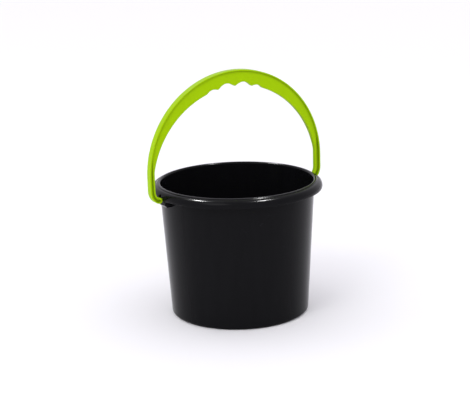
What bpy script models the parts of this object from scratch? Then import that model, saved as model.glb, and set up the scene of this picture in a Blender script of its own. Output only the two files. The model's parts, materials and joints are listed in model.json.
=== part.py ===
"""Florist bucket: a moulded black bucket and its swinging lime handle.

The bucket is one turned moulding with two pivot pads under its rim. The handle is one moulding
too: an arched plate with a rib round its edge, finger scallops under its crown, and a pin inside
each hooked end. Metres, +Z up. The origin is the middle of the foot, and the hinge runs along X.
"""

import math

import bmesh
import bpy

# Bucket
HEIGHT = 0.182  # floor to the top of the lip
RIM_RADIUS = 0.115  # outermost point of the rolled rim
RIM_OVERHANG = 0.0114  # from the wall's outer face at the neck out to the rim
BASE_RADIUS = 0.0934  # wall's outer face just above the foot
WALL = 0.0018
FLOOR = 0.0022
FOOT_RECESS = 0.003  # how far the floor stands above the foot ring
FOOT_RING = 0.003  # width of the flat that the bucket stands on
FOOT_CORNER = 0.0045  # radius where the wall turns into the foot
FOOT_DRAFT = 0.001  # slope of the foot ring's inner side, across
INNER_CORNER = 0.004
LIP_RADIUS = 0.0026  # rounding of the mouth's inner edge
LIP_STEP = 0.0013  # how far the lip stands above the roll
LIP_CROWN = 0.0018  # width of the lip's top, which falls slightly outwards
LIP_FALL = 0.0003
LIP_SHOULDER = 0.0013  # across the step from the lip down to the roll
ROLL_REACH = 0.0072  # roll's elliptical section, across
ROLL_DROP = 0.0082  # and down
SKIRT = 0.0022  # skirt below the roll's widest point
SKIRT_DRAFT = 0.0003
NECK_DROP = 0.014  # neck below the top of the lip
NECK_FILLET = 0.0012  # between the wall and the underside of the rim
GATE_RADIUS = 0.005
GATE_DEPTH = 0.0005

# Hinge and its pads
PIVOT_DROP = 0.0119  # hinge axis below the top of the lip
PIN_RADIUS = 0.0023
PIN_CLEARANCE = 0.0003
PIN_LENGTH = 0.0083  # beyond the end of the hook
PIN_DEPTH = 0.0016  # how far it is rooted in the hook
PIN_CHAMFER = 0.0006
SOCKET_END_GAP = 0.0005
PAD_DEPTH = 0.0098  # pad's lower edge below the axis
PAD_HALF_WIDTH = 0.0098  # between its upright flanks
PAD_SPREAD = 0.0090  # how much wider it gets under the rim, each side
PAD_FLARE = 0.0032  # height over which it widens
PAD_FLANK = 0.0056  # upright part of the flanks
PAD_CORNER = 0.002
PAD_INSET = 0.0014  # pad's face inside the rim's widest point
PAD_BEVEL = 0.0035  # under the pad's face
SEAT_RADIUS = 0.0070  # round seat that the handle's end turns in
SEAT_DEPTH = 0.0013
END_GAP = 0.0012  # between the seat's face and the handle's end

# Handle
LEG_GAP = 0.0073  # between the rim and the leg's inner face
LEG_WIDTH = 0.0076  # in the handle's plane
LEG_SWELL = 0.0022  # how far the leg stands inside the foot of the inner arch
LEG_EASE = 0.0008  # rounding where the inner arch meets the leg
CROWN_HEIGHT = 0.1602  # top of the handle above the hinge axis
CROWN_DEPTH = 0.0213  # in the handle's plane, without the scallops
OUTER_SPRING = 0.0303  # where the outer arch starts, above the hinge axis
INNER_SPRING = 0.0146  # and the inner arch
PLATE_THICKNESS = 0.0060
RIB_THICKNESS = 0.0100  # rib round the outer edge, standing out of the plate on both faces
RIB_WIDTH = 0.0018
INNER_BAND = 0.0027  # band left between the groove and the inner edge
GROOVE_DEPTH = 0.0014  # groove beside the rib, in both faces of the legs and hooks
GROOVE_TOP = 0.051  # where it runs out, above the hinge axis
GROOVE_FADE = 0.016  # height over which it runs out
HOOK_HEIGHT = 0.0074  # hook's end, from underside to top
HOOK_BEND = 0.0175  # height of the bend at the foot of a leg
HOOK_STRAIGHT = 0.0005  # between the bend and the hook's round end
FINGER_PITCH = 0.0253
FINGER_DEPTH = 0.0049
END_FINGER_PITCH = 0.0172
END_FINGER_DEPTH = 0.0026

PAD_MARGIN = 0.001  # overlap left where solids are cut or joined
CUT_MARGIN = 0.010

TURN_STEPS = 80
PIN_STEPS = 24
SCALLOP_STEPS = 7
ARCH_STEPS = 18
BEND_STEPS = 6
END_STEPS = 8

# Dependent sizes
NECK_Z = HEIGHT - NECK_DROP
TAPER = (RIM_RADIUS - RIM_OVERHANG - BASE_RADIUS) / (NECK_Z - FOOT_CORNER)
ROLL_CENTRE_X = RIM_RADIUS - ROLL_REACH
ROLL_CENTRE_Z = HEIGHT - LIP_FALL - LIP_STEP - ROLL_DROP
SKIRT_Z = ROLL_CENTRE_Z - SKIRT
PIVOT_Z = HEIGHT - PIVOT_DROP
PAD_FACE = RIM_RADIUS - PAD_INSET
SEAT_FACE = PAD_FACE - SEAT_DEPTH
HOOK_END = SEAT_FACE + END_GAP
PIN_END = HOOK_END - PIN_LENGTH
SOCKET_END = PIN_END - SOCKET_END_GAP
SOCKET_RADIUS = PIN_RADIUS + PIN_CLEARANCE
INNER_LEG = RIM_RADIUS + LEG_GAP
OUTER_ARC = INNER_LEG + LEG_WIDTH
INNER_ARC = INNER_LEG + LEG_SWELL
OUTER_RISE = CROWN_HEIGHT - OUTER_SPRING
INNER_RISE = CROWN_HEIGHT - CROWN_DEPTH - INNER_SPRING
HOOK_HALF = HOOK_HEIGHT / 2
HOOK_TIP = HOOK_END + HOOK_HALF  # centre of the hook's round end
BEND_X = HOOK_TIP + HOOK_STRAIGHT
BEND_Z = HOOK_BEND - HOOK_HALF
PIN_ROOT = HOOK_END + PIN_DEPTH
FINGER_END = math.asin(FINGER_PITCH / INNER_ARC)
GRIP_END = math.asin((FINGER_PITCH + END_FINGER_PITCH) / INNER_ARC)

SIDES = (("left", -1.0), ("right", 1.0))

model = bpy.data.collections.new("florist_bucket")
cutters = bpy.data.collections.new("cutters")


def clear_scene():
    for obj in list(bpy.data.objects):
        bpy.data.objects.remove(obj, do_unlink=True)
    bpy.context.scene.collection.children.link(model)
    bpy.context.scene.collection.children.link(cutters)


def material(name, colour, roughness):
    made = bpy.data.materials.new(name)
    made.use_nodes = True
    shader = made.node_tree.nodes["Principled BSDF"]
    shader.inputs["Base Color"].default_value = (*colour, 1.0)
    shader.inputs["Roughness"].default_value = roughness
    shader.inputs["Metallic"].default_value = 0.0
    return made


def add(name, mesh, collection):
    obj = bpy.data.objects.new(name, mesh)
    collection.objects.link(obj)
    if collection is cutters:
        obj.hide_render = True
        obj.display_type = "WIRE"
    return obj


def arc(centre_x, centre_z, radius_x, radius_z, start, end, steps):
    """Points along an elliptical arc, with its angles in degrees from +X towards +Z."""
    turns = [math.radians(start + (end - start) * i / steps) for i in range(steps + 1)]
    return [(centre_x + radius_x * math.cos(t), centre_z + radius_z * math.sin(t)) for t in turns]


def round_arc(centre_x, centre_z, radius, start, end, steps):
    return arc(centre_x, centre_z, radius, radius, start, end, steps)


def turned(name, profile, steps, collection, closed=False):
    """A profile in the XZ plane, turned about Z. Its outer side runs from top to bottom."""
    mesh = bpy.data.meshes.new(name)
    edges = [(i, i + 1) for i in range(len(profile) - 1)]
    if closed:
        edges.append((len(profile) - 1, 0))
    mesh.from_pydata([(x, 0.0, z) for x, z in profile], edges, [])
    obj = add(name, mesh, collection)
    screw = obj.modifiers.new("turn", "SCREW")
    screw.steps = screw.render_steps = steps
    screw.use_merge_vertices = True
    screw.merge_threshold = 0.00001
    screw.use_smooth_shade = True
    return obj


def plate(name, outline, thickness, collection):
    """A flat outline in the XZ plane, thickened to both sides of it along Y."""
    curve = bpy.data.curves.new(name, "CURVE")
    curve.dimensions = "2D"
    curve.fill_mode = "BOTH"
    curve.extrude = thickness / 2
    spline = curve.splines.new("POLY")
    spline.points.add(len(outline) - 1)
    for point, (x, z) in zip(spline.points, outline):
        point.co = (x, z, 0.0, 1.0)
    spline.use_cyclic_u = True
    flat = add(name + "_outline", curve, cutters)
    graph = bpy.context.evaluated_depsgraph_get()
    mesh = bpy.data.meshes.new_from_object(flat.evaluated_get(graph))
    bpy.data.objects.remove(flat, do_unlink=True)
    shape = bmesh.new()
    shape.from_mesh(mesh)
    bmesh.ops.remove_doubles(shape, verts=shape.verts, dist=0.00001)
    for vertex in shape.verts:
        x, z, y = vertex.co
        vertex.co = (x, -y, z)
    bmesh.ops.recalc_face_normals(shape, faces=shape.faces)
    shape.to_mesh(mesh)
    shape.free()
    mesh.name = name
    return add(name, mesh, collection)


def boolean(obj, operation, others):
    """Joins, cuts or keeps the object with all of these at once."""
    step = obj.modifiers.new(operation.lower(), "BOOLEAN")
    step.operation = operation
    step.solver = "EXACT"
    group = bpy.data.collections.new(f"{obj.name} {operation.lower()}")
    cutters.children.link(group)
    for other in others:
        cutters.objects.unlink(other)
        group.objects.link(other)
    step.operand_type = "COLLECTION"
    step.collection = group


def on_hinge(name, profile, start, facing):
    """A turned piece lying along the hinge axis from start outwards, on the side it faces."""
    obj = turned(name, profile, PIN_STEPS, cutters)
    obj.location = (facing * start, 0.0, PIVOT_Z)
    obj.rotation_euler = (0.0, facing * math.pi / 2, 0.0)
    return obj


def recess_profile():
    """Round seat for the handle's end and, beyond it, the blind socket for its pin."""
    step = SEAT_FACE - SOCKET_END
    length = RIM_RADIUS + CUT_MARGIN - SOCKET_END
    return [
        (0.0, length),
        (SEAT_RADIUS, length),
        (SEAT_RADIUS, step),
        (SOCKET_RADIUS, step),
        (SOCKET_RADIUS, 0.0),
        (0.0, 0.0),
    ]


def pin_profile():
    """Pin with a chamfered tip, rooted in the hook."""
    length = PIN_ROOT - PIN_END
    return [
        (0.0, length),
        (PIN_RADIUS, length),
        (PIN_RADIUS, PIN_CHAMFER),
        (PIN_RADIUS - PIN_CHAMFER, 0.0),
        (0.0, 0.0),
    ]


def wall_radius(z):
    """Outer radius of the tapered wall at a height."""
    return BASE_RADIUS + TAPER * (z - FOOT_CORNER)


def bucket_profile():
    inner = -WALL * math.hypot(1.0, TAPER)
    floor_top = FOOT_RECESS + FLOOR
    roll_top = ROLL_CENTRE_Z + ROLL_DROP
    flange_under = roll_top - WALL
    lip_x = wall_radius(HEIGHT) + inner + LIP_RADIUS
    crown_x = lip_x + LIP_CROWN
    ring_out = BASE_RADIUS - FOOT_CORNER
    ring_in = ring_out - FOOT_RING
    points = [(0.0, floor_top)]
    corner_x = wall_radius(floor_top + INNER_CORNER) + inner - INNER_CORNER
    points += round_arc(corner_x, floor_top + INNER_CORNER, INNER_CORNER, -90, 0, 4)
    points.append((wall_radius(HEIGHT / 2) + inner, HEIGHT / 2))
    points += round_arc(lip_x, HEIGHT - LIP_RADIUS, LIP_RADIUS, 180, 90, 4)
    points.append((crown_x, HEIGHT - LIP_FALL))
    points.append((crown_x + LIP_SHOULDER, HEIGHT - LIP_FALL - LIP_STEP))
    points += arc(ROLL_CENTRE_X, ROLL_CENTRE_Z, ROLL_REACH, ROLL_DROP, 78, 0, 8)
    points.append((RIM_RADIUS - SKIRT_DRAFT, SKIRT_Z))
    points.append((RIM_RADIUS - SKIRT_DRAFT - WALL, SKIRT_Z))
    points += arc(ROLL_CENTRE_X, ROLL_CENTRE_Z, ROLL_REACH - WALL, ROLL_DROP - WALL, 0, 90, 5)
    points.append((wall_radius(flange_under) + NECK_FILLET, flange_under))
    points.append((wall_radius(flange_under - NECK_FILLET), flange_under - NECK_FILLET))
    points += round_arc(ring_out, FOOT_CORNER, FOOT_CORNER, 0, -90, 5)
    points.append((ring_in, 0.0))
    points.append((ring_in - FOOT_DRAFT, FOOT_RECESS))
    points.append((GATE_RADIUS, FOOT_RECESS))
    points.append((GATE_RADIUS - GATE_DEPTH, FOOT_RECESS + GATE_DEPTH))
    points.append((0.0, FOOT_RECESS + GATE_DEPTH))
    return points


def pad_bounds():
    """Ring that the pads stay in: from the middle of the wall to the middle of the roll."""
    half = WALL / 2
    top = ROLL_CENTRE_Z + ROLL_DROP - half
    bottom = PIVOT_Z - PAD_DEPTH - PAD_MARGIN
    points = [(wall_radius(top) - half, top)]
    reach = PAD_FACE - ROLL_CENTRE_X
    points += arc(ROLL_CENTRE_X, ROLL_CENTRE_Z, reach, ROLL_DROP - half, 90, 0, 5)
    bevel = PAD_BEVEL + PAD_MARGIN
    points.append((PAD_FACE, bottom + bevel))
    points.append((PAD_FACE - bevel, bottom))
    points.append((wall_radius(bottom) - half, bottom))
    return turned("pad_bounds", points, TURN_STEPS, cutters, closed=True)


def pad_outline():
    """Shield shape seen along X, as (Y, Z) about the hinge axis: narrow below, wide at the rim."""
    top = HEIGHT - PIVOT_Z
    wide = PAD_HALF_WIDTH + PAD_SPREAD
    shoulder = PAD_FLANK - PAD_DEPTH
    right = [
        (0.0, -PAD_DEPTH),
        (PAD_HALF_WIDTH - PAD_CORNER, -PAD_DEPTH),
        (PAD_HALF_WIDTH, -PAD_DEPTH + PAD_CORNER),
        (PAD_HALF_WIDTH, shoulder),
    ]
    right += arc(wide, shoulder, -PAD_SPREAD, PAD_FLARE, 30, 90, 2)
    right.append((wide, top))
    left = [(-y, z) for y, z in reversed(right[1:])]
    return right + left


def make_pad(name, facing, bounds):
    depth = RIM_RADIUS - BASE_RADIUS + CUT_MARGIN
    pad = plate(name, pad_outline(), depth, cutters)
    pad.location = (facing * (RIM_RADIUS + (CUT_MARGIN - depth) / 2), 0.0, PIVOT_Z)
    pad.rotation_euler = (0.0, 0.0, math.pi / 2)
    step = pad.modifiers.new("keep inside", "BOOLEAN")
    step.operation = "INTERSECT"
    step.object = bounds
    step.solver = "EXACT"
    return pad


def make_bucket():
    bucket = turned("bucket", bucket_profile(), TURN_STEPS, model)
    bounds = pad_bounds()
    pads = [make_pad("pad_" + side, facing, bounds) for side, facing in SIDES]
    boolean(bucket, "UNION", pads)
    recesses = [on_hinge("recess_" + s, recess_profile(), SOCKET_END, f) for s, f in SIDES]
    boolean(bucket, "DIFFERENCE", recesses)
    bucket.data.materials.append(material("black moulded polypropylene", (0.012, 0.012, 0.013), 0.32))


def smooth_step(t):
    t = min(max(t, 0.0), 1.0)
    return t * t * (3.0 - 2.0 * t)


def station_angles():
    """Angles from the crown of the arch's sections, close together along the scallops."""
    angles = [FINGER_END * i / SCALLOP_STEPS for i in range(SCALLOP_STEPS)]
    angles += [FINGER_END + (GRIP_END - FINGER_END) * i / SCALLOP_STEPS for i in range(SCALLOP_STEPS)]
    angles += [GRIP_END + (math.pi / 2 - GRIP_END) * i / ARCH_STEPS for i in range(ARCH_STEPS + 1)]
    return angles


def scallop(angle):
    """Depth of the finger scallops at an angle from the crown."""
    if angle < FINGER_END:
        return FINGER_DEPTH * math.sin(math.pi * angle / FINGER_END)
    if angle < GRIP_END:
        return END_FINGER_DEPTH * math.sin(math.pi * (angle - FINGER_END) / (GRIP_END - FINGER_END))
    return 0.0


def lesser(a, b, ease):
    """The smaller of two lengths, eased from one to the other where they are nearly equal."""
    share = min(max(0.5 + (b - a) / (2.0 * ease), 0.0), 1.0)
    return b + (a - b) * share - ease / 2.0 * share * (1.0 - share)


def groove_floor(z):
    """Half thickness of the plate at the groove, at a height above the hinge axis."""
    return PLATE_THICKNESS / 2 - GROOVE_DEPTH * smooth_step((GROOVE_TOP - z) / GROOVE_FADE)


def edge_pairs(inset):
    """Points of the outer and the inner edge, each across from the other, from the crown to the
    hook's end, moved in by inset. They are (X, Z) about the hinge axis."""
    pairs = []
    for angle in station_angles():
        sine, cosine = math.sin(angle), math.cos(angle)
        deep = scallop(angle) + inset
        outer = ((OUTER_ARC - inset) * sine, OUTER_SPRING + (OUTER_RISE - inset) * cosine)
        inner_x = lesser((INNER_ARC + deep) * sine, INNER_LEG + inset, LEG_EASE)
        pairs.append((outer, (inner_x, INNER_SPRING + (INNER_RISE + deep) * cosine)))
    outer_bend = (OUTER_ARC - BEND_X - inset, HOOK_BEND - inset)
    inner_bend = (INNER_LEG - BEND_X + inset, BEND_Z - HOOK_HALF + inset)
    bends = [arc(BEND_X, BEND_Z, *radii, 0, -90, BEND_STEPS) for radii in (outer_bend, inner_bend)]
    pairs += zip(*bends)
    pairs.append(((HOOK_TIP, inset - HOOK_HALF), (HOOK_TIP, HOOK_HALF - inset)))
    return pairs


def half_section(edge, shoulder, floor, high):
    """Round one edge from the front groove to the back one: floor and high are half thicknesses."""
    path = [(shoulder, -floor), (shoulder, -high), (edge, -high)]
    path += [(edge, high), (shoulder, high), (shoulder, floor)]
    return [(x, y, z) for (x, z), y in path]


def hook_end_sections():
    """Half sections round the hook's end, from its underside to its top, where the rib sinks."""
    sections = []
    for i in range(1, END_STEPS):
        turn = math.pi * i / END_STEPS
        sink = smooth_step(2.0 * i / END_STEPS - 1.0)
        high = (RIB_THICKNESS + (PLATE_THICKNESS - RIB_THICKNESS) * sink) / 2
        band = RIB_WIDTH + (INNER_BAND - RIB_WIDTH) * i / END_STEPS
        edge, shoulder = [
            (HOOK_TIP - radius * math.sin(turn), -radius * math.cos(turn))
            for radius in (HOOK_HALF, HOOK_HALF - band)
        ]
        sections.append(half_section(edge, shoulder, groove_floor(0.0), high))
    return sections


def handle_half():
    """Right half of the handle without its pin, open at the middle plane: a loft of its sections."""
    shape = bmesh.new()
    rings = []
    stations = zip(edge_pairs(0.0), edge_pairs(RIB_WIDTH), edge_pairs(INNER_BAND))
    for (outer, inner), (outer_in, _), (_, inner_in) in stations:
        x, z = (outer_in[0] + inner_in[0]) / 2, (outer_in[1] + inner_in[1]) / 2
        floor = groove_floor(z)
        ring = [(x, -floor, z), *half_section(outer, outer_in, floor, RIB_THICKNESS / 2)]
        ring.append((x, floor, z))
        ring += reversed(half_section(inner, inner_in, floor, PLATE_THICKNESS / 2))
        rings.append([shape.verts.new(point) for point in ring])
    for here, there in zip(rings, rings[1:]):
        for i in range(len(here)):
            shape.faces.new((here[i - 1], here[i], there[i], there[i - 1]))
    last = rings[-1]
    front, back = last[0], last[7]
    rows = [last[1:7]]
    rows += [[shape.verts.new(point) for point in row] for row in hook_end_sections()]
    rows.append(last[13:7:-1])
    for here, there in zip(rows, rows[1:]):
        shape.faces.new((front, here[0], there[0]))
        shape.faces.new((back, there[-1], here[-1]))
        for i in range(1, len(here)):
            shape.faces.new((here[i - 1], here[i], there[i], there[i - 1]))
    bmesh.ops.remove_doubles(shape, verts=shape.verts, dist=0.00001)
    bmesh.ops.recalc_face_normals(shape, faces=shape.faces)
    mesh = bpy.data.meshes.new("handle")
    shape.to_mesh(mesh)
    shape.free()
    return mesh


def make_handle():
    handle = add("handle", handle_half(), model)
    handle.location = (0.0, 0.0, PIVOT_Z)
    mirror = handle.modifiers.new("left half", "MIRROR")
    mirror.merge_threshold = 0.00001
    pins = [on_hinge("pin_" + s, pin_profile(), PIN_END, f) for s, f in SIDES]
    boolean(handle, "UNION", pins)
    handle.data.materials.append(material("lime moulded polypropylene", (0.33, 0.56, 0.004), 0.35))


clear_scene()
make_bucket()
make_handle()
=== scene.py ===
"""Florist bucket: the finished look of a moulded black bucket and its swinging lime handle.

The frame's two pieces, bucket and handle, are each replaced by a finer moulding that fills the
same space and moves with the same body. Lengths are in metres, +Z is up, the hinge lies along X
and the bucket stands at Z = 0.
"""

import json
import math

import bmesh
import bpy
from mathutils import Matrix, Vector


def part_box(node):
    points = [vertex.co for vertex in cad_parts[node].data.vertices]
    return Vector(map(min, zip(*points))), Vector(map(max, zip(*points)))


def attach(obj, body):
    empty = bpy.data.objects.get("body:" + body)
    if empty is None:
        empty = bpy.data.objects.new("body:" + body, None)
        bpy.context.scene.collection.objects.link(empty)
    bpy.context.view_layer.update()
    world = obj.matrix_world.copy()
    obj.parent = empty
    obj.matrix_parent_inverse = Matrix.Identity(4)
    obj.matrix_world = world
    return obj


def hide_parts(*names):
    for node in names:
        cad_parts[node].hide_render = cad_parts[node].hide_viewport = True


bl_info = {
    "name": "Florist bucket",
    "version": (1, 0, 0),
    "blender": (4, 5, 0),
    "location": "3D Viewport > Sidebar > Florist Bucket",
    "description": "Builds a moulded florist bucket with a swinging handle, on a plain stage",
    "category": "Object",
}

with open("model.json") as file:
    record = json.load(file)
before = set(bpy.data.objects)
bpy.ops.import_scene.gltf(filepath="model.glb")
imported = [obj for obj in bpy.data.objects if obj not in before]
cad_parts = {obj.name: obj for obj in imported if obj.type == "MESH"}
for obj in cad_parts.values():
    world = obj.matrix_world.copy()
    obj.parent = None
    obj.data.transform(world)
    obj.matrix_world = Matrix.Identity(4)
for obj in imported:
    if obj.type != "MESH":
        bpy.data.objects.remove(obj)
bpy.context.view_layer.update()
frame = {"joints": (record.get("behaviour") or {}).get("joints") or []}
BUCKET_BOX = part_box("bucket")
HANDLE_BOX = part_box("handle")
HINGE = Vector(frame["joints"][0]["pos_m"])
LEFT_AND_RIGHT = (-1.0, 1.0)


def linear(code):
    """An sRGB hex code as a linear colour with alpha."""
    parts = [int(code[i : i + 2], 16) / 255 for i in (1, 3, 5)]
    curve = [p / 12.92 if p <= 0.04045 else ((p + 0.055) / 1.055) ** 2.4 for p in parts]
    return (*curve, 1.0)


def length(name, default, description):
    """A length in metres that the sidebar shows."""
    return bpy.props.FloatProperty(
        name=name, description=description, default=default, min=0.0, unit="LENGTH", precision=5
    )


def colour(name, default, description):
    """A colour that the sidebar shows, with an sRGB hex code as its default."""
    return bpy.props.FloatVectorProperty(
        name=name,
        description=description,
        default=linear(default),
        size=4,
        min=0.0,
        max=1.0,
        subtype="COLOR",
    )


class BucketSizes(bpy.types.PropertyGroup):
    """Main sizes and colours of the bucket"""

    height: length("Height", BUCKET_BOX[1].z, "Floor to the top of the lip")
    rim_radius: length("Rim radius", BUCKET_BOX[1].y, "Outermost point of the rolled rim")
    overhang: length("Overhang", 0.0114, "From the wall at the neck out to the rim")
    base_radius: length("Base radius", 0.0934, "Wall's outer face just above the foot")
    wall: length("Wall", 0.0018, "Thickness of the wall and the rim")
    floor: length("Floor", 0.0022, "Thickness of the floor")
    black: colour("Black", "#0A0A0C", "Body colour of the black polypropylene")
    black_flow: colour("Black flow lines", "#101012", "Where the black is thinner along the flow")
    # Painted shade: this colour is mixed into inside corners of the bucket by an occlusion mask.
    black_painted_shade: colour("Black in corners", "#060607", "Shade along the neck and round the pads")
    scuff: colour("Black scuffs", "#34343A", "Rubbed and scratched black polypropylene")


class HandleSizes(bpy.types.PropertyGroup):
    """Main sizes and colours of the handle"""

    leg_gap: length("Leg gap", 0.0073, "Between the rim and the leg's inner face")
    leg_width: length("Leg width", 0.0076, "Width of a leg in the handle's plane")
    crown_depth: length("Crown depth", 0.0213, "Depth of the grip, without its finger scallops")
    plate: length("Plate", 0.0060, "Thickness of the plate")
    rib: length("Rib", 0.0100, "Thickness over the rib round the outer edge")
    rib_width: length("Rib width", 0.0018, "Width of the rib")
    edge: length("Edge rounding", 0.00045, "Rounding of the moulding's edges")
    lime: colour("Lime", "#A1C900", "Body colour of the lime polypropylene")
    lime_flow: colour("Lime flow lines", "#9BC300", "Where the lime is denser along the flow")
    # Painted shade: this colour is mixed into inside corners of the handle by an occlusion mask,
    # standing in for shade along the rib.
    lime_painted_shade: colour("Lime in corners", "#7C9C00", "Grime and shade along the foot of the rib")
    scuff: colour("Lime scuffs", "#BEDC50", "Rubbed edges of the lime polypropylene")


class StageSettings(bpy.types.PropertyGroup):
    """Colours and light of the stage"""

    floor: colour("Floor", "#FAFAFA", "Pale floor")
    sky: colour("Surround", "#FAF8FF", "Light from all round")
    sky_strength: bpy.props.FloatProperty(
        name="Surround strength", description="Strength of the light from all round", default=1.06
    )


# ---------------------------------------------------------------- materials

# Spacing of each pattern in the plastic, in millimetres.
FLOW_SPACING = 9.0
HAIR_SPACING = 0.9
RUB_SPACING = 38.0
CLOUD_SPACING = 22.0
WAVE_SPACING = 30.0
GRAIN_SPACING = 0.7
MOTTLE_SPACING = 4.0

# A pattern is drawn out along a direction by making its scale there this much smaller.
FLOW_STRETCH = 0.12
HAIR_STRETCH = 0.08
HAIR_TILT = (0.3, 0.5, 0.9)

# Depth of an inside corner's shade in metres, and how open a place is where it starts and ends.
CORNER_REACH = 0.004
CORNER_START = 0.97
CORNER_END = 0.6
CORNER_SAMPLES = 8

# Which part of the noise is a scratch, where scratches gather, and how much they show.
HAIR_RANGE = (0.66, 0.74)
RUB_RANGE = (0.5, 0.7)
SCRATCH_TINT = 0.35
SCRATCH_DULLNESS = 0.15

CLOUD_RANGE = (0.3, 0.7)
CLOUD_DEPTH = 0.035
WAVE_STRENGTH = 0.2
WAVE_HEIGHT = 0.0006
GRAIN_STRENGTH = 0.08
GRAIN_HEIGHT = 0.00008
PLASTIC_IOR = 1.49


def node(tree, kind, settings=None, inputs=None):
    """Adds a node with its settings. An input takes a value or the socket that feeds it."""
    made = tree.nodes.new(kind)
    for name, value in (settings or {}).items():
        setattr(made, name, value)
    for key, value in (inputs or {}).items():
        if isinstance(value, bpy.types.NodeSocket):
            tree.links.new(value, made.inputs[key])
        else:
            made.inputs[key].default_value = value
    return made


def per_metre(millimetres):
    """A texture's scale for a pattern that repeats at this spacing."""
    return 1000.0 / millimetres


# The deep colour given here is painted shade, mixed into inside corners by an occlusion mask.
def moulded(name, body, flow, deep, scuff, roughness, gloss):
    """Injection-moulded polypropylene. The mould's fine spark-eroded grain breaks up highlights,
    slow sink and flow marks make broad reflections waver, and rubbing leaves paler dull scuffs."""
    made = bpy.data.materials.new(name)
    made.use_nodes = True
    tree = made.node_tree
    shader = tree.nodes["Principled BSDF"]
    place = node(tree, "ShaderNodeTexCoord").outputs["Object"]

    # Flow lines run up the piece, away from the gate: narrow streaks, many times as long as wide.
    along = node(
        tree,
        "ShaderNodeMapping",
        inputs={"Vector": place, "Scale": (1.0, 1.0, FLOW_STRETCH)},
    )
    streaks = node(
        tree,
        "ShaderNodeTexNoise",
        inputs={"Vector": along.outputs[0], "Scale": per_metre(FLOW_SPACING), "Detail": 3.0},
    )
    tone = node(
        tree,
        "ShaderNodeMix",
        {"data_type": "RGBA"},
        {"Factor": streaks.outputs["Fac"], "A": body, "B": flow},
    )

    # Painted shade: inside corners, such as the neck and the foot of the rib, are darkened with
    # the deep colour where the occlusion mask finds them closed in, standing in for the shade that
    # falls there.
    openness = node(
        tree,
        "ShaderNodeAmbientOcclusion",
        {"samples": CORNER_SAMPLES},
        {"Distance": CORNER_REACH},
    )
    cornered = node(
        tree,
        "ShaderNodeMapRange",
        inputs={
            "Value": openness.outputs["AO"],
            "From Min": CORNER_START,
            "From Max": CORNER_END,
        },
    )
    shaded = node(
        tree,
        "ShaderNodeMix",
        {"data_type": "RGBA"},
        {"Factor": cornered.outputs[0], "A": tone.outputs["Result"], "B": deep},
    )

    # Hair scratches gather in patches and are drawn out along the way things slide.
    across = node(
        tree,
        "ShaderNodeMapping",
        inputs={"Vector": place, "Rotation": HAIR_TILT, "Scale": (HAIR_STRETCH, 1.0, 1.0)},
    )
    hairs = node(
        tree,
        "ShaderNodeTexNoise",
        inputs={"Vector": across.outputs[0], "Scale": per_metre(HAIR_SPACING), "Detail": 2.0},
    )
    patches = node(
        tree,
        "ShaderNodeTexNoise",
        inputs={"Vector": place, "Scale": per_metre(RUB_SPACING)},
    )
    fine = node(
        tree,
        "ShaderNodeMapRange",
        inputs={
            "Value": hairs.outputs["Fac"],
            "From Min": HAIR_RANGE[0],
            "From Max": HAIR_RANGE[1],
        },
    )
    where = node(
        tree,
        "ShaderNodeMapRange",
        inputs={
            "Value": patches.outputs["Fac"],
            "From Min": RUB_RANGE[0],
            "From Max": RUB_RANGE[1],
        },
    )
    worn = node(
        tree,
        "ShaderNodeMath",
        {"operation": "MULTIPLY"},
        {0: fine.outputs[0], 1: where.outputs[0]},
    )
    rubbed = node(
        tree,
        "ShaderNodeMath",
        {"operation": "MULTIPLY"},
        {0: worn.outputs[0], 1: SCRATCH_TINT},
    )
    surface = node(
        tree,
        "ShaderNodeMix",
        {"data_type": "RGBA"},
        {"Factor": rubbed.outputs[0], "A": shaded.outputs["Result"], "B": scuff},
    )
    tree.links.new(surface.outputs["Result"], shader.inputs["Base Color"])

    # Gloss clouds over from place to place, and drops in the scratches.
    cloudy = node(
        tree,
        "ShaderNodeTexNoise",
        inputs={"Vector": place, "Scale": per_metre(CLOUD_SPACING), "Detail": 4.0},
    )
    satin = node(
        tree,
        "ShaderNodeMapRange",
        inputs={
            "Value": cloudy.outputs["Fac"],
            "From Min": CLOUD_RANGE[0],
            "From Max": CLOUD_RANGE[1],
            "To Min": roughness - CLOUD_DEPTH,
            "To Max": roughness + CLOUD_DEPTH,
        },
    )
    dull = node(
        tree,
        "ShaderNodeMath",
        {"operation": "MULTIPLY_ADD"},
        {0: worn.outputs[0], 1: SCRATCH_DULLNESS, 2: satin.outputs[0]},
    )
    tree.links.new(dull.outputs[0], shader.inputs["Roughness"])

    # Slow waves from uneven cooling lie under the mould's own grain. The grain is drawn coarser
    # than the real 0.1 mm, so that it shows.
    waves = node(
        tree,
        "ShaderNodeTexNoise",
        inputs={"Vector": along.outputs[0], "Scale": per_metre(WAVE_SPACING), "Detail": 1.0},
    )
    slow = node(
        tree,
        "ShaderNodeBump",
        inputs={
            "Strength": WAVE_STRENGTH,
            "Distance": WAVE_HEIGHT,
            "Height": waves.outputs["Fac"],
        },
    )
    grain = node(
        tree,
        "ShaderNodeTexNoise",
        inputs={"Vector": place, "Scale": per_metre(GRAIN_SPACING), "Detail": 2.0},
    )
    fine_bump = node(
        tree,
        "ShaderNodeBump",
        inputs={
            "Strength": GRAIN_STRENGTH,
            "Distance": GRAIN_HEIGHT,
            "Height": grain.outputs["Fac"],
            "Normal": slow.outputs[0],
        },
    )
    tree.links.new(fine_bump.outputs[0], shader.inputs["Normal"])

    shader.inputs["IOR"].default_value = PLASTIC_IOR
    shader.inputs["Specular IOR Level"].default_value = gloss
    shader.inputs["Metallic"].default_value = 0.0
    return made


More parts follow.
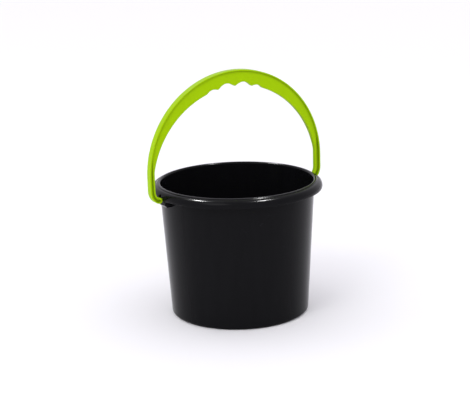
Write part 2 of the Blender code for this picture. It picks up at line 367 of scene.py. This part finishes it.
def studio_paint(body):
    """Rolled matt wall paint: a faint mottle keeps the floor from looking like a flat cut-out."""
    made = bpy.data.materials.new("matt painted studio floor")
    made.use_nodes = True
    tree = made.node_tree
    shader = tree.nodes["Principled BSDF"]
    mottle = node(
        tree,
        "ShaderNodeTexNoise",
        inputs={
            "Vector": node(tree, "ShaderNodeTexCoord").outputs["Object"],
            "Scale": per_metre(MOTTLE_SPACING),
        },
    )
    matt = node(
        tree,
        "ShaderNodeMapRange",
        inputs={"Value": mottle.outputs["Fac"], "To Min": 0.8, "To Max": 0.95},
    )
    tree.links.new(matt.outputs[0], shader.inputs["Roughness"])
    shader.inputs["Base Color"].default_value = body
    shader.inputs["Specular IOR Level"].default_value = 0.1
    return made


# ---------------------------------------------------------------- mesh tools

WELD = 1e-6


def arc(centre_x, centre_z, radius_x, radius_z, start, end, steps):
    """Points along an elliptical arc, with its angles in degrees from +X towards +Z."""
    turns = [math.radians(start + (end - start) * i / steps) for i in range(steps + 1)]
    return [(centre_x + radius_x * math.cos(t), centre_z + radius_z * math.sin(t)) for t in turns]


def round_arc(centre_x, centre_z, radius, start, end, steps):
    """Points along a round arc."""
    return arc(centre_x, centre_z, radius, radius, start, end, steps)


def between(start, end, steps):
    """Points from start to end, without either."""
    return [
        tuple(a + (b - a) * i / steps for a, b in zip(start, end)) for i in range(1, steps)
    ]


def smooth_step(t):
    """Rises from 0 to 1 as t does, level at both ends."""
    t = min(max(t, 0.0), 1.0)
    return t * t * (3.0 - 2.0 * t)


def lesser(a, b, ease):
    """The smaller of two lengths, eased from one to the other where they are nearly equal."""
    share = min(max(0.5 + (b - a) / (2.0 * ease), 0.0), 1.0)
    return b + (a - b) * share - ease / 2.0 * share * (1.0 - share)


def finished(shape, name):
    """Turns a bmesh into an object with welded points and outward faces."""
    bmesh.ops.remove_doubles(shape, verts=shape.verts, dist=WELD)
    bmesh.ops.recalc_face_normals(shape, faces=shape.faces)
    mesh = bpy.data.meshes.new(name)
    shape.to_mesh(mesh)
    shape.free()
    made = bpy.data.objects.new(name, mesh)
    bpy.context.scene.collection.objects.link(made)
    return made


def turned(name, profile, segments, closed=False):
    """A solid turned about Z from a profile of (radius, Z)."""
    shape = bmesh.new()
    rings = []
    for i in range(segments):
        turn = 2.0 * math.pi * i / segments
        sine, cosine = math.sin(turn), math.cos(turn)
        rings.append([shape.verts.new((x * cosine, x * sine, z)) for x, z in profile])
    first = 0 if closed else 1
    for here, there in zip(rings, rings[1:] + rings[:1]):
        for i in range(first, len(profile)):
            shape.faces.new((here[i - 1], here[i], there[i], there[i - 1]))
    return finished(shape, name)


def slab(name, outline, thickness):
    """A flat outline in the YZ plane, thickened to both sides of it along X."""
    shape = bmesh.new()
    faces = [
        shape.faces.new([shape.verts.new((x, y, z)) for y, z in outline])
        for x in (-thickness / 2, thickness / 2)
    ]
    bmesh.ops.bridge_loops(shape, edges=[edge for face in faces for edge in face.edges])
    return finished(shape, name)


def boolean(obj, operation, others):
    """Joins, cuts or keeps the object with these, and removes them."""
    for other in others:
        step = obj.modifiers.new(operation.lower(), "BOOLEAN")
        step.operation = operation
        step.solver = "EXACT"
        step.object = other
        graph = bpy.context.evaluated_depsgraph_get()
        mesh = bpy.data.meshes.new_from_object(obj.evaluated_get(graph))
        obj.modifiers.clear()
        obj.data = mesh
        bpy.data.objects.remove(other, do_unlink=True)
    if not obj.data.polygons:
        raise RuntimeError(f"{obj.name}: the {operation.lower()} left nothing")


def shade(obj, sharp_degrees):
    """Smooth shading that keeps an edge where faces meet at more than this angle."""
    obj.data.polygons.foreach_set("use_smooth", [True] * len(obj.data.polygons))
    obj.data.set_sharp_from_angle(angle=math.radians(sharp_degrees))
    step = obj.modifiers.new("flat faces lead", "WEIGHTED_NORMAL")
    step.keep_sharp = True


def on_hinge(obj, start, facing):
    """Lays a turned piece along the hinge axis from start outwards, on the side it faces."""
    turn = Matrix.Rotation(facing * math.pi / 2, 4, "Y")
    obj.data.transform(Matrix.Translation((facing * start, 0.0, HINGE.z)) @ turn)
    return obj


def dress(obj, name, look, body, node_name):
    """Names a finished piece, gives it its material and hangs it on its body of the frame."""
    obj.name = obj.data.name = name
    obj.data.materials.clear()
    obj.data.materials.append(look)
    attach(obj, body)
    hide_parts(node_name)


# ---------------------------------------------------------------- bucket

# Steps round the axis, round a pin or socket, and along each part of the bucket's profile.
SEGMENTS = 256
PIN_SEGMENTS = 64
CORNER_STEPS = 12
FOOT_STEPS = 14
ROLL_STEPS = 28
ROLL_INSIDE_STEPS = 14
FILLET_STEPS = 5
EDGE_STEPS = 4
INNER_WALL_STEPS = 10
OUTER_WALL_STEPS = 14
SHOULDER_STEPS = 3

# Neck under the rim, foot ring, inner corner of the floor and the gate mark under it.
NECK_DROP = 0.014
NECK_FILLET = 0.0012
FOOT_RECESS = 0.003
FOOT_RING = 0.003
FOOT_CORNER = 0.0045
FOOT_DRAFT = 0.001
INNER_CORNER = 0.004
GATE_RADIUS = 0.005
GATE_DEPTH = 0.0005

# Lip and rolled rim, from the mouth outwards. The roll starts 10 degrees past its own top.
LIP_RADIUS = 0.0026
LIP_CROWN = 0.0018
LIP_STEP = 0.0013
LIP_FALL = 0.0003
LIP_SHOULDER = 0.0013
ROLL_REACH = 0.0072
ROLL_DROP = 0.0082
ROLL_START = 80
SKIRT = 0.0022
SKIRT_DRAFT = 0.0003

# Pivot pads, each with a round seat for the hook and a blind socket for the pin.
PAD_DEPTH = 0.0098
PAD_HALF_WIDTH = 0.0098
PAD_SPREAD = 0.0090
PAD_FLARE = 0.0032
PAD_FLANK = 0.0056
PAD_CORNER = 0.002
PAD_CORNER_STEPS = 6
PAD_FLARE_STEPS = 10
PAD_INSET = 0.0014
PAD_BEVEL = 0.0035
SEAT_RADIUS = 0.0070
SEAT_DEPTH = 0.0013
SEAT_EDGE = 0.0003

# Pins, and the room they have in their sockets.
PIN_RADIUS = 0.0023
PIN_LENGTH = 0.0083
PIN_CLEARANCE = 0.0003
PIN_CHAMFER = 0.0006
END_GAP = 0.0012
SOCKET_END_GAP = 0.0005

# Edges sharper than this many degrees stay crisp. The bucket is the glossier moulding.
BUCKET_SHARP = 28.0
BUCKET_ROUGHNESS = 0.17
BUCKET_GLOSS = 0.072

# How far a part that is joined or cut away runs into or past the other.
OVERLAP = 0.0010
REACH = 0.010


def hook_face(rim_radius):
    """Distance from the bucket's axis to the end of the hook, which clears the seat by END_GAP."""
    return rim_radius - PAD_INSET - SEAT_DEPTH + END_GAP


class Bucket:
    """Places that the bucket's profile and its pads share."""

    def __init__(self, sizes):
        self.sizes = sizes
        flare = sizes.rim_radius - sizes.overhang - sizes.base_radius
        self.taper = flare / (sizes.height - NECK_DROP - FOOT_CORNER)
        self.roll_x = sizes.rim_radius - ROLL_REACH
        self.roll_z = sizes.height - LIP_FALL - LIP_STEP - ROLL_DROP
        self.pad_face = sizes.rim_radius - PAD_INSET
        self.seat_face = self.pad_face - SEAT_DEPTH
        self.socket_end = hook_face(sizes.rim_radius) - PIN_LENGTH - SOCKET_END_GAP

    def wall(self, z):
        """Outer radius of the tapered wall at a height."""
        return self.sizes.base_radius + self.taper * (z - FOOT_CORNER)


def bucket_profile(plan):
    """Half section of the bucket, from the middle of the floor over the rim to the foot."""
    sizes = plan.sizes
    inner = -sizes.wall * math.hypot(1.0, plan.taper)
    floor_top = FOOT_RECESS + sizes.floor
    flange_under = plan.roll_z + ROLL_DROP - sizes.wall
    lip_x = plan.wall(sizes.height) + inner + LIP_RADIUS
    crown_x = lip_x + LIP_CROWN
    ring_out = sizes.base_radius - FOOT_CORNER
    ring_in = ring_out - FOOT_RING
    corner_z = floor_top + INNER_CORNER
    corner_x = plan.wall(corner_z) + inner - INNER_CORNER
    points = [(0.0, floor_top), (corner_x / 2, floor_top)]
    points += round_arc(corner_x, corner_z, INNER_CORNER, -90, 0, CORNER_STEPS)
    lip = round_arc(lip_x, sizes.height - LIP_RADIUS, LIP_RADIUS, 180, 90, CORNER_STEPS)
    points += between(points[-1], lip[0], INNER_WALL_STEPS)
    points += lip
    points.append((crown_x, sizes.height - LIP_FALL))
    step = (crown_x + LIP_SHOULDER, sizes.height - LIP_FALL - LIP_STEP)
    points += between(points[-1], step, SHOULDER_STEPS)
    points.append(step)
    points += arc(plan.roll_x, plan.roll_z, ROLL_REACH, ROLL_DROP, ROLL_START, 0, ROLL_STEPS)
    skirt = (sizes.rim_radius - SKIRT_DRAFT, plan.roll_z - SKIRT)
    edge = sizes.wall / 3
    points += round_arc(skirt[0] - edge, skirt[1] + edge, edge, 0, -90, EDGE_STEPS)
    inside = skirt[0] - sizes.wall
    points += round_arc(inside + edge, skirt[1] + edge, edge, -90, -180, EDGE_STEPS)
    reach, drop = ROLL_REACH - sizes.wall, ROLL_DROP - sizes.wall
    points += arc(plan.roll_x, plan.roll_z, reach, drop, 0, 90, ROLL_INSIDE_STEPS)
    fillet = (plan.wall(flange_under) + NECK_FILLET, flange_under - NECK_FILLET)
    points += round_arc(*fillet, NECK_FILLET, 90, 180, FILLET_STEPS)
    foot = round_arc(ring_out, FOOT_CORNER, FOOT_CORNER, 0, -90, FOOT_STEPS)
    points += between(points[-1], foot[0], OUTER_WALL_STEPS)
    points += foot
    points.append((ring_in, 0.0))
    points.append((ring_in - FOOT_DRAFT, FOOT_RECESS))
    points.append((GATE_RADIUS, FOOT_RECESS))
    points.append((GATE_RADIUS - GATE_DEPTH, FOOT_RECESS + GATE_DEPTH))
    points.append((0.0, FOOT_RECESS + GATE_DEPTH))
    return points


def pad_ring(plan):
    """Ring that the pads stay in: from the middle of the wall to the middle of the roll."""
    half = plan.sizes.wall / 2
    top = plan.roll_z + ROLL_DROP - half
    bottom = HINGE.z - PAD_DEPTH - OVERLAP
    points = [(plan.wall(top) - half, top)]
    reach = plan.pad_face - plan.roll_x
    points += arc(
        plan.roll_x, plan.roll_z, reach, ROLL_DROP - half, 90, 0, ROLL_INSIDE_STEPS
    )
    bevel = PAD_BEVEL + OVERLAP
    points.append((plan.pad_face, bottom + bevel))
    points.append((plan.pad_face - bevel, bottom))
    points.append((plan.wall(bottom) - half, bottom))
    return turned("pad_ring", points, SEGMENTS, closed=True)


def pad_outline(plan):
    """Shield shape seen along X, as (Y, Z): upright flanks that flare out under the rim."""
    top = plan.sizes.height - HINGE.z
    wide = PAD_HALF_WIDTH + PAD_SPREAD
    low = -PAD_DEPTH
    corner_at = (PAD_HALF_WIDTH - PAD_CORNER, low + PAD_CORNER)
    corner = round_arc(*corner_at, PAD_CORNER, -90, 0, PAD_CORNER_STEPS)
    flare = arc(wide, low + PAD_FLANK, -PAD_SPREAD, PAD_FLARE, 0, 90, PAD_FLARE_STEPS)
    right = [(0.0, low), *corner, *flare, (wide, top)]
    left = [(-y, z) for y, z in reversed(right[1:])]
    return [(y, HINGE.z + z) for y, z in right + left]


def pad(plan, facing):
    """Pivot pad on one side, inside the ring that the pads stay in."""
    depth = plan.sizes.rim_radius - plan.sizes.base_radius + REACH
    made = slab("pad", pad_outline(plan), depth)
    middle = facing * (plan.sizes.rim_radius + (REACH - depth) / 2)
    made.data.transform(Matrix.Translation((middle, 0.0, 0.0)))
    boolean(made, "INTERSECT", [pad_ring(plan)])
    return made


def recess(plan, facing):
    """Cutter for the round seat of the handle's end and the blind socket of its pin."""
    step = plan.seat_face - plan.socket_end
    far = plan.sizes.rim_radius + REACH - plan.socket_end
    face = plan.pad_face - plan.socket_end
    bore = PIN_RADIUS + PIN_CLEARANCE
    profile = [
        (0.0, far),
        (SEAT_RADIUS + SEAT_EDGE, far),
        (SEAT_RADIUS + SEAT_EDGE, face),
        (SEAT_RADIUS, face - SEAT_EDGE),
        (SEAT_RADIUS, step),
        (bore + SEAT_EDGE, step),
        (bore, step - SEAT_EDGE),
        (bore, 0.0),
        (0.0, 0.0),
    ]
    return on_hinge(turned("recess", profile, PIN_SEGMENTS), plan.socket_end, facing)


class FLORIST_OT_bucket(bpy.types.Operator):
    """Build the moulded bucket: tapered wall, rolled rim, foot ring and the two pivot pads"""

    bl_idname = "florist.bucket"
    bl_label = "Bucket"

    def execute(self, context):
        sizes = context.scene.florist_bucket
        plan = Bucket(sizes)
        shell = turned("bucket_moulding", bucket_profile(plan), SEGMENTS)
        boolean(shell, "UNION", [pad(plan, facing) for facing in LEFT_AND_RIGHT])
        boolean(shell, "DIFFERENCE", [recess(plan, facing) for facing in LEFT_AND_RIGHT])
        shade(shell, BUCKET_SHARP)
        look = moulded(
            "injection-moulded black polypropylene",
            tuple(sizes.black),
            tuple(sizes.black_flow),
            # Painted shade for the bucket's inside corners.
            tuple(sizes.black_painted_shade),
            tuple(sizes.scuff),
            roughness=BUCKET_ROUGHNESS,
            gloss=BUCKET_GLOSS,
        )
        dress(shell, "bucket_moulding", look, "bucket", "bucket")
        return {"FINISHED"}


# ---------------------------------------------------------------- handle

# Finger scallops: two deep ones beside the middle and a shallow one at each end.
FINGER_PITCH = 0.0253
FINGER_DEPTH = 0.0049
END_FINGER_PITCH = 0.0172
END_FINGER_DEPTH = 0.0026
TIP_SOFTNESS = 0.10

# Flat band along the inner edge, and the groove that it makes with the rib down each leg.
INNER_BAND = 0.0027
GROOVE_DEPTH = 0.0014
GROOVE_TOP = 0.051
GROOVE_FADE = 0.016

# Where the middle of a rounded edge lies, measured from its corner, as a share of its radius.
ROUND_MIDDLE = 0.3

# Both arches are ellipses, and each springs from its own height above the hinge. The inner one
# is wider than the leg's inner face by LEG_SWELL, and eases into it.
OUTER_SPRING = 0.0303
INNER_SPRING = 0.0146
LEG_SWELL = 0.0022
LEG_EASE = 0.0008

# Hooked end, which turns in over the pad, and how deep the pin is rooted in it.
HOOK_HEIGHT = 0.0074
HOOK_BEND = 0.0175
HOOK_STRAIGHT = 0.0005
PIN_ROOT = 0.0016

# Steps along each part of the handle.
SCALLOP_STEPS = 36
ARCH_STEPS = 70
BEND_STEPS = 18
END_STEPS = 20

# Edges sharper than this many degrees stay crisp. The handle is the duller moulding.
HANDLE_SHARP = 50.0
HANDLE_ROUGHNESS = 0.36
HANDLE_GLOSS = 0.05


class Handle:
    """Places that the handle's outline, its hooked ends and its pins share."""

    def __init__(self, sizes, rim_radius):
        self.sizes = sizes
        crown = HANDLE_BOX[1].z - HINGE.z
        self.inner_leg = rim_radius + sizes.leg_gap
        self.outer_arc = self.inner_leg + sizes.leg_width
        self.inner_arc = self.inner_leg + LEG_SWELL
        self.outer_rise = crown - OUTER_SPRING
        self.inner_rise = crown - sizes.crown_depth - INNER_SPRING
        self.half = HOOK_HEIGHT / 2
        self.hook_end = hook_face(rim_radius)
        self.pin_end = self.hook_end - PIN_LENGTH
        self.tip = self.hook_end + self.half
        self.bend_x = self.tip + HOOK_STRAIGHT
        self.bend_z = HOOK_BEND - self.half
        self.finger_end = math.asin(FINGER_PITCH / self.inner_arc)
        self.grip_end = math.asin((FINGER_PITCH + END_FINGER_PITCH) / self.inner_arc)

    def angles(self):
        """Angles from the crown of the arch's sections, close together along the scallops."""
        stops = [0.0, self.finger_end, self.grip_end, math.pi / 2]
        steps = [SCALLOP_STEPS, SCALLOP_STEPS, ARCH_STEPS]
        found = [0.0]
        for start, end, count in zip(stops, stops[1:], steps):
            found += [start + (end - start) * (i + 1) / count for i in range(count)]
        return found

    def scallop(self, angle):
        """Depth of the finger scallops at an angle from the crown, with softened tips."""
        if angle < self.finger_end:
            wave, depth = math.sin(math.pi * angle / self.finger_end), FINGER_DEPTH
        elif angle < self.grip_end:
            along = (angle - self.finger_end) / (self.grip_end - self.finger_end)
            wave, depth = math.sin(math.pi * along), END_FINGER_DEPTH
        else:
            return 0.0
        return depth * (math.hypot(wave, TIP_SOFTNESS) - TIP_SOFTNESS) / (1.0 - TIP_SOFTNESS)

    def groove_floor(self, z):
        """Half thickness of the plate at the groove, at a height above the hinge axis."""
        depth = GROOVE_DEPTH * smooth_step((GROOVE_TOP - z) / GROOVE_FADE)
        return self.sizes.plate / 2 - depth

    def pairs(self, inset):
        """Points of the outer and the inner edge, each across from the other, from the crown to
        the hook's end, moved in by inset, as (X, Z) about the hinge axis."""
        found = []
        for angle in self.angles():
            sine, cosine = math.sin(angle), math.cos(angle)
            deep = self.scallop(angle) + inset
            outer_z = OUTER_SPRING + (self.outer_rise - inset) * cosine
            inner_x = lesser((self.inner_arc + deep) * sine, self.inner_leg + inset, LEG_EASE)
            inner_z = INNER_SPRING + (self.inner_rise + deep) * cosine
            found.append((((self.outer_arc - inset) * sine, outer_z), (inner_x, inner_z)))
        outer_bend = (self.outer_arc - self.bend_x - inset, HOOK_BEND - inset)
        inner_bend = (self.inner_leg - self.bend_x + inset, self.bend_z - self.half + inset)
        bends = [
            arc(self.bend_x, self.bend_z, *radii, 0, -90, BEND_STEPS)
            for radii in (outer_bend, inner_bend)
        ]
        found += zip(*bends)
        found.append(((self.tip, inset - self.half), (self.tip, self.half - inset)))
        return found

    def columns(self, floor, high, rib):
        """Half a section as (inset, half thickness), from the groove to the edge, rounded."""
        edge = self.sizes.edge
        foot = min(edge, (high - floor) / 2)
        edge_middle, foot_middle = ROUND_MIDDLE * edge, ROUND_MIDDLE * foot
        return [
            (rib + edge, floor),
            (rib + edge_middle, floor + foot_middle),
            (rib, floor + foot),
            (rib, high - foot),
            (rib - edge_middle, high - foot_middle),
            (rib - edge, high),
            *(
                (edge * (1.0 - math.sin(t)), high - edge * (1.0 - math.cos(t)))
                for t in (0.0, math.pi / 6, math.pi / 3, math.pi / 2)
            ),
        ]


def handle_half(plan):
    """Right half of the handle without its pin, open at the middle plane: a loft of sections."""
    shape = bmesh.new()
    thick, thin = plan.sizes.rib / 2, plan.sizes.plate / 2
    widths = (plan.sizes.rib_width, INNER_BAND)
    insets = {inset for width in widths for inset, _ in plan.columns(thin, thick, width)}
    edges = {inset: plan.pairs(inset) for inset in insets}
    middles = plan.pairs(plan.sizes.rib_width + plan.sizes.edge)

    def side(station, which, floor, high):
        """Points from the front groove round one edge to the back groove."""
        front = [
            (edges[inset][station][which][0], -y, edges[inset][station][which][1])
            for inset, y in plan.columns(floor, high, widths[which])
        ]
        return front + [(x, -y, z) for x, y, z in reversed(front)]

    rings = []
    for station, (outer, inner) in enumerate(middles):
        x, z = (outer[0] + inner[0]) / 2, (outer[1] + inner[1]) / 2
        floor = plan.groove_floor(z)
        ring = [(x, -floor, z), *side(station, 0, floor, thick), (x, floor, z)]
        ring += reversed(side(station, 1, floor, thin))
        rings.append([shape.verts.new(point) for point in ring])
    count = len(rings[0])
    for here, there in zip(rings, rings[1:]):
        for i in range(count):
            shape.faces.new((here[i - 1], here[i], there[i], there[i - 1]))

    # The rounded end swings the last section's outer edge round to its inner edge.
    last, turn_back = rings[-1], count // 2
    rows = [last[1:turn_back]]
    for i in range(1, END_STEPS):
        turn = math.pi * i / END_STEPS
        sink = smooth_step(2.0 * i / END_STEPS - 1.0)
        front = []
        width = widths[0] + (widths[1] - widths[0]) * i / END_STEPS
        high = thick + (thin - thick) * sink
        for inset, y in plan.columns(plan.groove_floor(0.0), high, width):
            radius = plan.half - inset
            front.append((plan.tip - radius * math.sin(turn), -y, -radius * math.cos(turn)))
        row = front + [(x, -y, z) for x, y, z in reversed(front)]
        rows.append([shape.verts.new(point) for point in row])
    rows.append(last[count - 1 : turn_back : -1])
    for here, there in zip(rows, rows[1:]):
        shape.faces.new((last[0], here[0], there[0]))
        shape.faces.new((last[turn_back], there[-1], here[-1]))
        for i in range(1, len(here)):
            shape.faces.new((here[i - 1], here[i], there[i], there[i - 1]))
    return shape


def handle_bow(plan):
    """Both halves of the handle, joined at the middle plane and set on the hinge axis."""
    shape = handle_half(plan)
    bmesh.ops.mirror(shape, geom=shape.verts[:] + shape.edges[:] + shape.faces[:], axis="X")
    bmesh.ops.translate(shape, verts=shape.verts, vec=HINGE)
    return finished(shape, "handle_moulding")


def pin(plan, facing):
    """Pin with a chamfered tip, rooted in the hook."""
    size = PIN_LENGTH + PIN_ROOT
    profile = [
        (0.0, size),
        (PIN_RADIUS, size),
        (PIN_RADIUS, PIN_CHAMFER),
        (PIN_RADIUS - PIN_CHAMFER, 0.0),
        (0.0, 0.0),
    ]
    return on_hinge(turned("pin", profile, PIN_SEGMENTS), plan.pin_end, facing)


class FLORIST_OT_handle(bpy.types.Operator):
    """Build the moulded handle: arched plate, outer rib, finger scallops, hooked ends and pins"""

    bl_idname = "florist.handle"
    bl_label = "Handle"

    def execute(self, context):
        sizes = context.scene.florist_handle
        plan = Handle(sizes, context.scene.florist_bucket.rim_radius)
        bow = handle_bow(plan)
        boolean(bow, "UNION", [pin(plan, facing) for facing in LEFT_AND_RIGHT])
        shade(bow, HANDLE_SHARP)
        look = moulded(
            "injection-moulded lime polypropylene",
            tuple(sizes.lime),
            tuple(sizes.lime_flow),
            # Painted shade for the handle's inside corners.
            tuple(sizes.lime_painted_shade),
            tuple(sizes.scuff),
            roughness=HANDLE_ROUGHNESS,
            gloss=HANDLE_GLOSS,
        )
        dress(bow, "handle_moulding", look, "handle", "handle")
        return {"FINISHED"}


# ---------------------------------------------------------------- stage

# The camera circles ORBIT and looks at AIM. Angles are in degrees, lens and sensor in millimetres.
AIM = Vector((-0.0030, 0.0016, 0.1453))
ORBIT = Vector((0.0, 0.0, 0.092))
CAMERA_DISTANCE = 1.8902
CAMERA_AZIMUTH = -28.55
CAMERA_ELEVATION = 16.25
CAMERA_ROLL = -1.68
CAMERA_LENS = 106.37
CAMERA_SENSOR = 36.0
CAMERA_FAR = 30.0

FLOOR_RADIUS = 9.0
FLOOR_SEGMENTS = 96

# Softboxes: name, azimuth from the camera, elevation and brightness. Sizes are in metres.
SOFTBOX_DISTANCE = 4.0
STRIP_SIZE = (0.32, 1.1)
STRIPS = (("left strip", -122, 62, 350), ("right strip", 82, 70.8, 310))
FRONT_SIZE = (2.0, 2.0)
FRONT = ("front softbox", -35, 40, 2.6)


def direction(azimuth, elevation):
    """Way from the object to a viewer: azimuth 0 looks along +Y, and 90 along -X."""
    a, e = math.radians(azimuth), math.radians(elevation)
    return Vector((math.sin(a) * math.cos(e), -math.cos(a) * math.cos(e), math.sin(e)))


def softbox(name, azimuth, elevation, brightness, size):
    """A rectangular softbox that faces the bucket's mouth, its length lying along the view."""
    data = bpy.data.lights.new(name, "AREA")
    data.shape = "RECTANGLE"
    data.size, data.size_y = size
    data.energy = brightness * math.pi * data.size * data.size_y
    lamp = bpy.data.objects.new(name, data)
    bpy.context.scene.collection.objects.link(lamp)
    towards = direction(CAMERA_AZIMUTH + azimuth, elevation)
    across = direction(CAMERA_AZIMUTH, 0.0).cross(towards).normalized()
    along = towards.cross(across)
    turn = Matrix((across, along, towards)).transposed().to_4x4()
    middle = Vector((0.0, 0.0, BUCKET_BOX[1].z))
    lamp.matrix_world = Matrix.Translation(middle + towards * SOFTBOX_DISTANCE) @ turn
    return lamp


class FLORIST_OT_stage(bpy.types.Operator):
    """Set up the pale floor, the soft studio light and the camera"""

    bl_idname = "florist.stage"
    bl_label = "Stage"

    def execute(self, context):
        settings = context.scene.florist_stage
        shape = bmesh.new()
        bmesh.ops.create_circle(
            shape, cap_ends=True, segments=FLOOR_SEGMENTS, radius=FLOOR_RADIUS
        )
        floor = finished(shape, "floor")
        floor.data.materials.append(studio_paint(tuple(settings.floor)))

        world = bpy.data.worlds.new("studio surround")
        world.use_nodes = True
        background = world.node_tree.nodes["Background"]
        background.inputs["Color"].default_value = tuple(settings.sky)
        background.inputs["Strength"].default_value = settings.sky_strength
        context.scene.world = world
        context.scene.view_settings.view_transform = "Standard"

        # The strips only draw highlights along the rim, and give no light to matt surfaces.
        for strip in STRIPS:
            softbox(*strip, STRIP_SIZE).visible_diffuse = False
        softbox(*FRONT, FRONT_SIZE)

        data = bpy.data.cameras.new("camera")
        data.lens = CAMERA_LENS
        data.sensor_width = CAMERA_SENSOR
        data.clip_end = CAMERA_FAR
        camera = bpy.data.objects.new("camera", data)
        context.scene.collection.objects.link(camera)
        place = ORBIT + direction(CAMERA_AZIMUTH, CAMERA_ELEVATION) * CAMERA_DISTANCE
        look = (place - AIM).to_track_quat("Z", "Y").to_matrix().to_4x4()
        roll = Matrix.Rotation(math.radians(CAMERA_ROLL), 4, "Z")
        camera.matrix_world = Matrix.Translation(place) @ look @ roll
        context.scene.camera = camera
        return {"FINISHED"}


class FLORIST_PT_sidebar(bpy.types.Panel):
    """Sizes, colours and the steps that build the florist bucket"""

    bl_label = "Florist Bucket"
    bl_idname = "FLORIST_PT_sidebar"
    bl_space_type = "VIEW_3D"
    bl_region_type = "UI"
    bl_category = "Florist Bucket"

    def draw(self, context):
        for operator, group in STEPS:
            box = self.layout.box()
            values = getattr(context.scene, group)
            for name in values.__annotations__:
                box.prop(values, name)
            box.operator(operator.bl_idname)


GROUPS = {
    "florist_bucket": BucketSizes,
    "florist_handle": HandleSizes,
    "florist_stage": StageSettings,
}
STEPS = (
    (FLORIST_OT_stage, "florist_stage"),
    (FLORIST_OT_bucket, "florist_bucket"),
    (FLORIST_OT_handle, "florist_handle"),
)
CLASSES = (*GROUPS.values(), *(operator for operator, _ in STEPS), FLORIST_PT_sidebar)


def register():
    """Makes the sizes, operators and sidebar known to Blender."""
    for made in CLASSES:
        bpy.utils.register_class(made)
    for name, group in GROUPS.items():
        setattr(bpy.types.Scene, name, bpy.props.PointerProperty(type=group))


def unregister():
    """Takes back what register() added."""
    for name in GROUPS:
        delattr(bpy.types.Scene, name)
    for made in reversed(CLASSES):
        bpy.utils.unregister_class(made)


def main():
    """Builds the stage and both pieces."""
    register()
    bpy.ops.florist.stage()
    bpy.ops.florist.bucket()
    bpy.ops.florist.handle()


if __name__ == "__main__":
    main()
